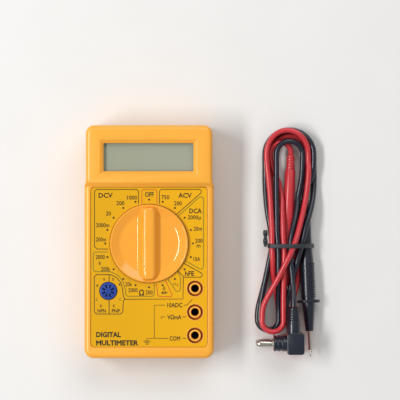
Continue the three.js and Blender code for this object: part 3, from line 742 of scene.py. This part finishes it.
def copy_of(node, name):
    """A copy of an imported part as clean connected faces."""
    piece = bpy.data.objects.new(name, NODES[node].data.copy())
    bpy.context.scene.collection.objects.link(piece)
    only(piece)
    bpy.ops.object.mode_set(mode="EDIT")
    bpy.ops.mesh.select_all(action="SELECT")
    bpy.ops.mesh.remove_doubles(threshold=0.002 * MM)
    bpy.ops.mesh.dissolve_limited(angle_limit=math.radians(1))
    bpy.ops.object.mode_set(mode="OBJECT")
    return piece


# %% [markdown]
# ## Case
# The two halves of the case are exact mouldings with bosses and recesses, so the finished pieces start as
# copies of the CAD parts. Sharp edges give a plastic part away as a drawing: a real mould leaves them
# round by a few tenths of a millimetre, and that small radius catches the light. Each jack also gets a
# thin raised rim round its groove.

# %% Case halves
RIM_RADIUS, RIM_THICKNESS, RIM_HEIGHT = 4.5 * MM, 0.25 * MM, 23.42 * MM

front = soften(copy_of("front_case", "case_front"), 0.28)
for jack in JACKS:
    bpy.ops.object.select_all(action="DESELECT")
    bpy.ops.mesh.primitive_torus_add(
        major_radius=RIM_RADIUS,
        minor_radius=RIM_THICKNESS,
        major_segments=64,
        minor_segments=10,
        location=(*jack.xy, RIM_HEIGHT),
    )
    rim = bpy.context.active_object
    bpy.ops.object.transform_apply(location=True, rotation=True, scale=True)
    bpy.ops.object.shade_smooth()
    front = joined(front, rim)
finished(front, "meter", CASE_ABS, "case_abs", "front_case")
rear = soften(copy_of("rear_cover", "case_rear"), 0.28)
finished(rear, "meter", CASE_ABS, "case_abs", "rear_cover")

# %% Screws and transistor socket
for side in ("left", "right"):
    screw = soften(copy_of("cover_screw_" + side, "screw_" + side), 0.12)
    finished(screw, "meter", NICKEL, "steel", "cover_screw_" + side)
socket = soften(copy_of("transistor_socket", "socket_top"), 0.14)
finished(socket, "meter", SOCKET_PLASTIC, "socket_plastic", "transistor_socket")

# %% [markdown]
# ## Range knob
# The knob is a round moulding: a thin upright rim, a slope down to a flat dish, and a bar across it for
# two fingers. The disc is raised from a circle and the bar from a rounded rectangle. The bar flares at
# its foot as if it had been filleted into the dish, which hides the joint between the two shapes.

# %% Knob
KNOB_Y = middle("range_knob").y / MM
disc = turned(
    "knob",
    [
        (5, 17), (5, 21.2), (17, 21.2), (17, 17.6), (23.3, 17.6), (23.3, 21.2), (21.1, 21.2),
        (21.1, 25.0), (21.02, 25.35), (20.8, 25.55), (20.5, 25.62), (20.2, 25.55), (19.95, 25.4),
        (19.6, 25.23), (16.9, 23.98), (16.5, 23.8), (16.1, 23.64), (15.7, 23.53), (15.2, 23.45),
        (14.6, 23.41), (13.8, 23.4), (13.4, 23.4),
    ],
    128,
)
bar = rounded_plate("knob_bar", 6.7, 19.9, 23.3, 3.2, 8)
grow(
    bar,
    [
        (6.7, 19.9, 23.3), (6.35, 19.85, 23.4), (6.0, 19.8, 23.52), (5.68, 19.75, 23.7),
        (5.4, 19.7, 23.94), (5.2, 19.65, 24.22), (5.08, 19.62, 24.42), (3.52, 19.32, 26.8),
        (3.38, 19.3, 27.02), (3.15, 19.24, 27.3), (2.85, 19.14, 27.56), (2.48, 19.0, 27.78),
        (2.05, 18.8, 27.92), (1.6, 18.5, 28.0),
    ],
)
knob = smooth(joined(disc, bar), 28)
place(knob, Matrix.Translation((0, KNOB_Y * MM, 0)))
finished(knob, "knob", KNOB_ABS, "knob_abs", "range_knob")

# %% [markdown]
# ## Probes
# A probe handle starts with a ribbed sleeve that protects the cord, swells to a grip with rows of
# small raised dots, and ends in a guard for the fingers and a tapering nose. The round parts are turned
# upright at the origin and then laid along the line of the probe. The guard is an oval plate.


# %% Probe helpers
def lay_along(tail, tip):
    """The move that lays a piece made along +Z so that it runs from tail to tip."""
    start = Vector(tail) * MM
    along = (Vector(tip) * MM - start).normalized()
    side = Vector((0, 0, 1)).cross(along).normalized()
    turn = Matrix((side, along.cross(side), along)).transposed().to_4x4()
    return Matrix.Translation(start) @ turn


PROBE = {
    "red": ((77.4, 47, 2.9), (73.6, -38.9, 6.2)),
    "black": ((84.9, 22.5, 2.9), (88, -63.4, 6.2)),
}
GUARD_AT = 55.5
GUARD_OVAL = 0.7
NOSE_END = 71.8
DOT_RINGS, DOTS_IN_RING = 16, 14
DOT_HEIGHT = 0.8 * MM
GRIP_START, GRIP_RADIUS, RING_STEP = 34.9 * MM, 3.72 * MM, 1.2 * MM

# %% [markdown]
# The dots on the grip are modelled once as a small dome of few faces and copied round and along the
# handle in rings. Every other ring is turned by half a step, and all the copies are joined.


# %% Grip dots
def grip_dots():
    """The raised dots of one handle, standing upright at the origin."""
    bpy.ops.object.select_all(action="DESELECT")
    bpy.ops.mesh.primitive_cylinder_add(vertices=6, radius=0.46 * MM, depth=DOT_HEIGHT)
    dot = bpy.context.active_object
    select_top(dot)
    bpy.ops.transform.resize(value=(0.55, 0.55, 1), center_override=(0, 0, DOT_HEIGHT / 2))
    bpy.ops.object.mode_set(mode="OBJECT")
    copies = []
    sideways = Matrix.Rotation(math.pi / 2, 4, "Y")
    for ring in range(DOT_RINGS):
        outwards = Matrix.Translation((GRIP_RADIUS, 0, GRIP_START + ring * RING_STEP)) @ sideways
        for step in range(DOTS_IN_RING):
            turn = 2 * math.pi * (step + 0.5 * (ring % 2)) / DOTS_IN_RING
            copy = bpy.data.objects.new("dot", dot.data.copy())
            bpy.context.scene.collection.objects.link(copy)
            place(copy, Matrix.Rotation(turn, 4, "Z") @ outwards)
            copies.append(copy)
    bpy.data.objects.remove(dot)
    return joined(*copies)


# %% Probe handles
def probe_handle(colour):
    ribs = []
    for i in range(5):
        low = 0.3 + i * 1.5
        wide = 2.3 + i * 0.07
        ribs += [(wide, low), (wide, low + 0.9), (wide - 0.4, low + 1.0), (wide - 0.4, low + 1.4)]
    handle = turned(
        "probe_" + colour,
        [
            (1.6, 0.02), (2.1, 0.05), *ribs, (2.85, 7.9), (2.95, 8.2), (2.95, 24), (3.1, 28), (3.45, 32),
            (3.62, 34), (3.62, 54.5), (3.55, 56.4), (2.15, NOSE_END - 0.4), (2.0, NOSE_END - 0.05),
            (1.35, NOSE_END), (1.35, NOSE_END - 2.4),
        ],
        40,
    )
    handle = soften(handle, 0.1)
    guard = turned(
        "guard",
        [
            (5.9, GUARD_AT - 0.8), (6.25, GUARD_AT - 0.65), (6.35, GUARD_AT - 0.3),
            (6.35, GUARD_AT + 0.3), (6.25, GUARD_AT + 0.65), (5.9, GUARD_AT + 0.8),
        ],
        48,
    )
    place(guard, Matrix.Diagonal((1, GUARD_OVAL, 1, 1)))
    smooth(guard, 40)
    piece = joined(handle, guard, grip_dots())
    place(piece, lay_along(*PROBE[colour]))
    return finished(piece, "leads", PVC[colour], "lead_" + colour, "probe_handle_" + colour)


def probe_tip(colour):
    tip = turned(
        "tip_" + colour,
        [(1, NOSE_END - 2.2), (1, 80.5), (0.96, 81.5), (0.42, 84.9), (0.28, 85.6), (0.12, 85.95)],
        32,
    )
    smooth(tip, 30)
    place(tip, lay_along(*PROBE[colour]))
    return finished(tip, "leads", NICKEL, "steel", "probe_tip_" + colour)


handles = {colour: probe_handle(colour) for colour in PROBE}
tips = {colour: probe_tip(colour) for colour in PROBE}

# %% [markdown]
# ## Plugs
# A test lead plug is moulded round its pin at a right angle. The block is a small box with soft corners, a
# ribbed collar surrounds the pin, and the cord leaves through a sleeve with slots that let it bend.

# %% Plug parts
PLUG_X, CORD_X = 79.55, 78.5
TO_THE_LEFT = Matrix.Rotation(-math.pi / 2, 4, "Y")


def plug_place(colour, x):
    """The move from the origin to a place x along the axis of a plug's pin."""
    pin = middle("plug_pin_" + colour)
    return Matrix.Translation((x * MM, pin.y, pin.z))


def plug_body(colour):
    block_middle = plug_place(colour, PLUG_X)
    block = rounded_plate("plug_" + colour, 4.35, 5.55, -4.5, 1.3, 5)
    grow(
        block,
        [
            (4.35, 5.55, -4.5), (4.55, 5.75, -4.4), (4.65, 5.85, -4.15), (4.65, 5.85, 4.15),
            (4.55, 5.75, 4.4), (4.35, 5.55, 4.5),
        ],
    )
    place(block, block_middle)
    collar = turned(
        "collar",
        [
            (4.1, 3), (4.2, 5.6), (4.2, 7.2), (3.9, 7.4), (3.9, 8.4), (4.2, 8.6), (4.2, 9.6),
            (3.9, 9.8), (3.9, 10.6), (4.2, 10.8), (4.2, 11.7), (3.95, 11.95), (2.4, 11.95), (2.4, 9.6),
        ],
    )
    place(collar, block_middle @ TO_THE_LEFT)
    rings = []
    for i in range(6):
        low = 11.6 + i * 1.35
        wide = 3.5 - i * 0.12
        rings += [(wide, low), (wide, low + 0.75), (wide - 0.55, low + 0.85), (wide - 0.55, low + 1.25)]
    sleeve = turned(
        "sleeve", [(3.6, 2), (3.7, 6), (3.7, 11.0), (3.5, 11.3), *rings, (2.6, 19.75), (1.7, 19.8)]
    )
    place(sleeve, plug_place(colour, CORD_X) @ Matrix.Rotation(-math.pi / 2, 4, "X"))
    piece = smooth(joined(block, soften(collar, 0.12), soften(sleeve, 0.12)), 32)
    return finished(piece, "leads", PVC[colour], "lead_" + colour, "plug_body_" + colour)


def plug_pin(colour):
    pin = turned(
        "pin_" + colour,
        [
            (1.95, 9.8), (1.95, 12.6), (1.6, 12.8), (1.6, 13.3), (1.95, 13.5), (1.95, 19.6),
            (1.8, 20.2), (1.5, 20.6), (1.5, 21.2), (1.2, 21.5),
        ],
        40,
    )
    soften(pin, 0.08)
    place(pin, plug_place(colour, PLUG_X) @ TO_THE_LEFT)
    return finished(pin, "leads", NICKEL, "steel", "plug_pin_" + colour)


plugs = {colour: plug_body(colour) for colour in PROBE}
pins = {colour: plug_pin(colour) for colour in PROBE}

# %% [markdown]
# ## Tie
# A flat vinyl tie with a wire in its middle holds the hank. It follows the outside of the bundle, so
# the CAD ring is copied and its edges rounded. Its two ends are twisted together at the side and
# folded up along the cords. Each end is a thin strip, extruded in short steps that turn as they rise.

# %% Tie
TWIST_FOOT = (63.3 * MM, -3.0 * MM, 6.2 * MM)
TWIST_LEAN = math.radians(-94)

tie = soften(copy_of("lead_tie", "tie"), 0.15)
for turn in (0, 180):
    end = rounded_plate("tie_end", 0.4, 0.9, 0, 0.3, 3)
    grow(end, [(0.4, 0.9, 0), (0.4, 0.9, 0.7)])
    select_top(end)
    for step in range(14):
        bpy.ops.mesh.extrude_region_move(TRANSFORM_OT_translate={"value": (0, 0, 0.6 * MM)})
        bpy.ops.transform.rotate(value=math.radians(24), orient_axis="Z", center_override=(0, 0, 0))
    bpy.ops.object.mode_set(mode="OBJECT")
    place(end, Matrix.Rotation(math.radians(turn), 4, "Z") @ Matrix.Translation((0.38 * MM, 0, 0)))
    smooth(end, 60)
    place(end, Matrix.Translation(TWIST_FOOT) @ Matrix.Rotation(TWIST_LEAN, 4, "X"))
    tie = joined(tie, end)
finished(tie, "leads", TIE_PLASTIC, "tie", "lead_tie")

# %% [markdown]
# ## Lettering on the panel
# Text objects give clean letter shapes. Each one becomes a mesh, is moved to its place just above the film,
# and all text of one ink is joined into one piece. Only plain legends of ranges and terminals are used.

# %% Text helper
PANEL_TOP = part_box("label_panel")[1][2] / MM
PRINT_MIDDLE = (PANEL_TOP + 0.02) * MM
PRINT_THICKNESS = 0.06 * MM
CAPITAL = 0.73  # height of a capital letter in a text object of size 1
dark_words, olive_words, orange_words = [], [], []


def letters(text, x, y, cap_mm, wide_mm, swell_mm=0.055):
    """Adds a dark word as high and as wide as asked, its middle at x, y and its strokes swollen."""
    bpy.ops.object.select_all(action="DESELECT")
    bpy.ops.object.text_add(location=(0, 0, 0))
    word = bpy.context.active_object
    word.data.body = text
    word.data.bevel_depth = swell_mm * CAPITAL / cap_mm
    word.data.bevel_resolution = 0
    word.data.resolution_u = 2
    bpy.ops.object.convert(target="MESH")
    word = bpy.context.active_object
    low, high = ([pick(v.co[i] for v in word.data.vertices) for i in range(3)] for pick in (min, max))
    middle = Matrix.Translation([-(a + b) / 2 for a, b in zip(low, high)])
    across = wide_mm * MM / (high[0] - low[0])
    size = Matrix.Diagonal((across, cap_mm * MM / CAPITAL, PRINT_THICKNESS / (high[2] - low[2]), 1))
    place(word, Matrix.Translation((x * MM, y * MM, PRINT_MIDDLE)) @ size @ middle)
    dark_words.append(word)


# %% Range numbers, as text, middle x and y, and width
for text, x, y, wide in (
    ("1000", -9.2, 23.9, 5.3), ("200", -15.5, 20.9, 4.3), ("20", -22, 15.3, 2.7),
    ("2000m", -25.1, 9.0, 7.2), ("200m", -26, 1.3, 5.5), ("2000", -26.4, -8.2, 4.9),
    ("k", -26.5, -11.3, 1.2), ("200k", -23.5, -14.7, 4.9), ("20k", -11.0, -22.9, 3.6),
    ("2000", -8.7, -26.1, 5.0), ("200", 0.0, -27.3, 3.9), ("10A", 25.8, -9.3, 3.7),
    ("200", 26.9, 0.6, 4.1), ("m", 26.7, -2.3, 2.1), ("20m", 26.3, 7.1, 4.6),
    ("2000µ", 24.4, 13.0, 7.0), ("200", 15.6, 20.8, 4.2), ("750", 8.8, 24.1, 4.3),
):
    letters(text, x, y, 2.3, wide)
for text, x, y, wide in (
    ("DCV", -23.5, 25.1, 7.6), ("ACV", 19.4, 25.1, 7.3), ("DCA", 25.1, 16.7, 6.8),
    ("OFF", 0.1, 25.6, 4.8), ("hFE", 21.9, -17.1, 4.9),
):
    letters(text, x, y, 2.6, wide, 0.1)
letters("Ω", -4.1, -27.4, 3.0, 2.8, 0.12)
print("words so far:", len(dark_words))

# %% Terminal names
for text, x, y, wide in (
    ("10ADC", 13.9, -34.2, 8.2), ("VΩmA", 13.6, -40.6, 7.6), ("COM", 13.9, -52.2, 5.8),
):
    letters(text, x, y, 2.4, wide, 0.08)
for text, x in (("NPN", -25.6), ("PNP", -17.9)):
    letters(text, x, -37.3, 2.0, 4.5, 0.06)
for text, x, y in (
    ("E", -24.2, -20.2), ("B", -27.9, -23.6), ("C", -28.3, -31.2), ("E", -26.0, -34.6),
    ("E", -19.4, -20.2), ("B", -15.9, -23.0), ("C", -15.6, -31.0), ("E", -19.0, -34.6),
):
    letters(text, x, y, 1.4, 0.9, 0.05)
letters("DIGITAL", -21.9, -50.1, 2.7, 13.4, 0.16)
letters("MULTIMETER", -17.2, -54.6, 2.7, 22.9, 0.16)

# %% [markdown]
# The outlines are drawn as curves with a little thickness, then turned into meshes and pressed almost
# flat, like a raised line of ink.


# %% Line helper
def line(points, ink_pieces, width_mm=0.42):
    """Adds a line of ink through points given as x, y in millimetres."""
    data = bpy.data.curves.new("line", "CURVE")
    data.dimensions = "3D"
    data.bevel_depth = width_mm / 2 * MM
    data.bevel_resolution = 1
    data.use_fill_caps = True
    spline = data.splines.new("POLY")
    spline.points.add(len(points) - 1)
    for point, (x, y) in zip(spline.points, points):
        point.co = (x * MM, y * MM, 0, 1)
    drawn = bpy.data.objects.new("line", data)
    bpy.context.scene.collection.objects.link(drawn)
    only(drawn)
    bpy.ops.object.convert(target="MESH")
    drawn = bpy.context.active_object
    place(drawn, Matrix.Translation((0, 0, PRINT_MIDDLE)) @ Matrix.Diagonal((1, 1, 0.1, 1)))
    ink_pieces.append(drawn)


# %% Field outlines
line([(-5.7, 20.5), (-5.7, 27.4), (-6.6, 28.3), (-28.4, 28.3), (-29.5, 27.2), (-29.5, -2.5),
      (-28.1, -3.9), (-22.2, -3.9)], dark_words)
line([(5.6, 20.5), (5.6, 27.4), (6.5, 28.3), (27.3, 28.3), (28.2, 27.6), (28.0, 26.4),
      (14.9, 14.9)], dark_words)
line([(18.9, -11.6), (28.3, -16.9), (28.8, -18.2), (27.8, -19.1), (18.9, -19.1),
      (15.8, -15.9)], dark_words)
line([(18.5, -19.1), (18.3, -30.9), (-13.0, -31.0), (-13.9, -31.8), (-14.2, -37.8), (-15.4, -39.0),
      (-28.4, -39.0), (-29.6, -37.8), (-29.6, -18.9), (-28.4, -17.7), (-21.0, -17.7), (-17.6, -19.2),
      (-15.2, -22.2), (-14.3, -25.8), (-13.9, -29.6), (-13.0, -31.0)], dark_words)
line([(-21.6, -17.7), (-21.6, -39.0)], dark_words)
line([(16.1, 14.2), (26.9, 24.0), (28.4, 24.4), (29.4, 23.2), (29.4, -13.4), (28.6, -14.8),
      (27.4, -14.6), (19.6, -10.2)], olive_words)
line([(15.4, -16.1), (17.0, -19.3), (16.8, -26.0), (16.2, -26.7), (14.6, -26.7),
      (10.2, -20.2)], olive_words)
line([(-22.5, -5.5), (-29.2, -5.5), (-30.2, -6.5), (-30.2, -15.1), (-29.2, -16.1), (-21.0, -16.1),
      (-16.6, -18.2), (-13.9, -21.8), (-12.8, -26.0), (-12.6, -28.5), (-11.6, -29.4), (1.8, -29.4),
      (2.7, -28.6), (2.8, -22.6)], olive_words)
line([(-3.9, 20.5), (-3.9, 27.4), (-3.1, 28.2), (3.4, 28.2), (4.2, 27.4), (4.2, 20.5)], orange_words)
line([(3.9, -22.8), (4.7, -28.9), (5.4, -29.5), (11.8, -29.6), (12.4, -28.9),
      (8.8, -20.7)], orange_words)
print("outlines and words:", len(dark_words) + len(olive_words) + len(orange_words))

# %% Signs beside the terminals
line([(8.6, -34.2), (2.8, -34.2), (2.8, -52.1)], dark_words, 0.34)
line([(18.8, -34.2), (20.4, -34.2), (23.4, -31.0)], dark_words, 0.34)
line([(18.0, -40.5), (20.0, -40.5)], dark_words, 0.34)
line([(6.6, -41.6), (6.6, -40.5), (8.6, -40.5)], dark_words, 0.34)
line([(18.0, -52.1), (20.0, -52.1)], dark_words, 0.34)
line([(10.2, -52.1), (-1.1, -52.1), (-1.1, -53.6)], dark_words, 0.34)
for half, y in ((1.9, -53.6), (1.2, -54.5), (0.5, -55.3)):
    line([(-1.1 - half, y), (-1.1 + half, y)], dark_words, 0.4)
line([(6.6, -27.5), (7.4, -27.5), (7.4, -26.8), (8.7, -27.5), (7.4, -28.2), (7.4, -27.5)], dark_words, 0.6)
line([(8.9, -26.7), (8.9, -28.3)], dark_words, 0.4)
line([(8.9, -27.5), (10.0, -27.5)], dark_words, 0.4)
for i in range(3):
    reach = 0.7 + i * 0.55
    arc = [math.radians(a) for a in (-40, -20, 0, 20, 40)]
    line([(6.8 + reach * math.cos(a), -25.2 + reach * math.sin(a)) for a in arc], dark_words, 0.28)
line([(13.2, -23.6), (13.2, -22.4), (14.4, -22.4), (14.4, -23.6), (15.6, -23.6), (15.6, -22.4)],
     dark_words, 0.3)

# %% Dots of the knob's positions
POSITIONS, DOT_CIRCLE = 20, 23.7

for i in range(POSITIONS):
    turn = math.pi / 2 + i * 2 * math.pi / POSITIONS
    bpy.ops.object.select_all(action="DESELECT")
    bpy.ops.mesh.primitive_circle_add(vertices=20, radius=0.56 * MM, fill_type="NGON")
    dot = bpy.context.active_object
    x, y = DOT_CIRCLE * math.cos(turn), KNOB_Y + DOT_CIRCLE * math.sin(turn)
    place(dot, Matrix.Translation((x * MM, y * MM, (PANEL_TOP + 0.03) * MM)))
    dark_words.append(dot)

# %% Join the lettering by ink
for name, words, material in (
    ("print_dark", dark_words, DARK_INK),
    ("print_olive", olive_words, OLIVE_INK),
    ("print_orange", orange_words, ORANGE_INK),
):
    piece = joined(*words)
    piece.name = name
    finished(piece, "meter", material, "panel_print")

# %% [markdown]
# ## Materials of the other parts
# The parts whose CAD shape is already right only need their surface.

# %% Assign materials
SURFACES = {
    PANEL_FILM: ["label_panel"],
    CLEAR_ACRYLIC: ["display_window"],
    DISPLAY_GLASS: ["lcd_panel"],
    WHITE_PLASTIC: ["lcd_holder", "trimmer_rotor"],
    RUBBER: ["zebra_strip"],
    BRASS: [
        "contact_wiper_1", "contact_wiper_2", "contact_wiper_3", "jack_sleeve_ten_amp",
        "jack_sleeve_volt_ohm", "jack_sleeve_common", "buzzer_disc", "shunt_wire", "fuse_clip_left",
        "fuse_clip_right",
    ],
    NICKEL: [
        "board_screw_1", "board_screw_2", "board_screw_3", "detent_spring_left", "detent_spring_right",
        "detent_ball_left", "detent_ball_right", "fuse_cap_left", "fuse_cap_right",
        "battery_terminal_plus", "battery_terminal_minus",
    ],
    SOCKET_PLASTIC: ["trimmer_body"],
    LAMINATE: ["circuit_board"],
    EPOXY: ["chip_blob", "electrolytic_capacitor"],
    FILM_CASE: ["film_capacitor_1", "film_capacitor_2"],
    RESISTOR_LACQUER: ["resistor_1", "resistor_2", "resistor_3"],
    FUSE_GLASS: ["fuse_glass"],
    BATTERY_JACKET: ["battery_can"],
    BLACK_PLASTIC: ["battery_end_plate", "snap_cap"],
    PVC["red"]: ["snap_wire_red"],
    PVC["black"]: ["snap_wire_black"],
}
for material, names in SURFACES.items():
    for name in names:
        data = NODES[name].data
        data.materials.clear()
        data.materials.append(material)
print("parts given a material:", sum(len(names) for names in SURFACES.values()))

# %% [markdown]
# ## Floor and light
# The floor is a pale sheet. One long soft light stands to the left and above, which draws the bright
# lines on the knob's bar and rim and leaves the right side of the case darker. A wide weak light behind
# the display end and the pale surroundings fill the rest.

# %% Floor
bpy.ops.object.select_all(action="DESELECT")
bpy.ops.mesh.primitive_plane_add(size=6, location=(0, 0, -0.2 * MM))
floor = bpy.context.active_object
floor.name = "floor"
FLOOR_PAPER = moulded_plastic("matt paper pale grey", "E9E8E6", "E4E3E1", 0.9, 1.0, 0.0)
floor.data.materials.append(FLOOR_PAPER)


# %% Lights
def soft_light(name, spot, target, size, power):
    data = bpy.data.lights.new(name, "AREA")
    data.shape = "RECTANGLE"
    data.size, data.size_y = size
    data.energy = power
    lamp = bpy.data.objects.new(name, data)
    lamp.location = spot
    lamp.rotation_euler = (Vector(target) - Vector(spot)).to_track_quat("-Z", "Y").to_euler()
    bpy.context.scene.collection.objects.link(lamp)


soft_light("key", (-0.68, 0.0, 0.92), (0.02, 0.0, 0.02), (0.8, 0.2), 9)
soft_light("fill", (0.35, 1.0, 1.1), (0.03, 0.0, 0), (1.2, 0.8), 7)

world = bpy.data.worlds.new("surroundings")
bpy.context.scene.world = world
world.use_nodes = True
sky = world.node_tree.nodes["Background"]
sky.inputs["Color"].default_value = (1, 1, 1, 1)
sky.inputs["Strength"].default_value = 0.4
bpy.context.scene.view_settings.view_transform = "Standard"
print("lights:", len(bpy.data.lights))
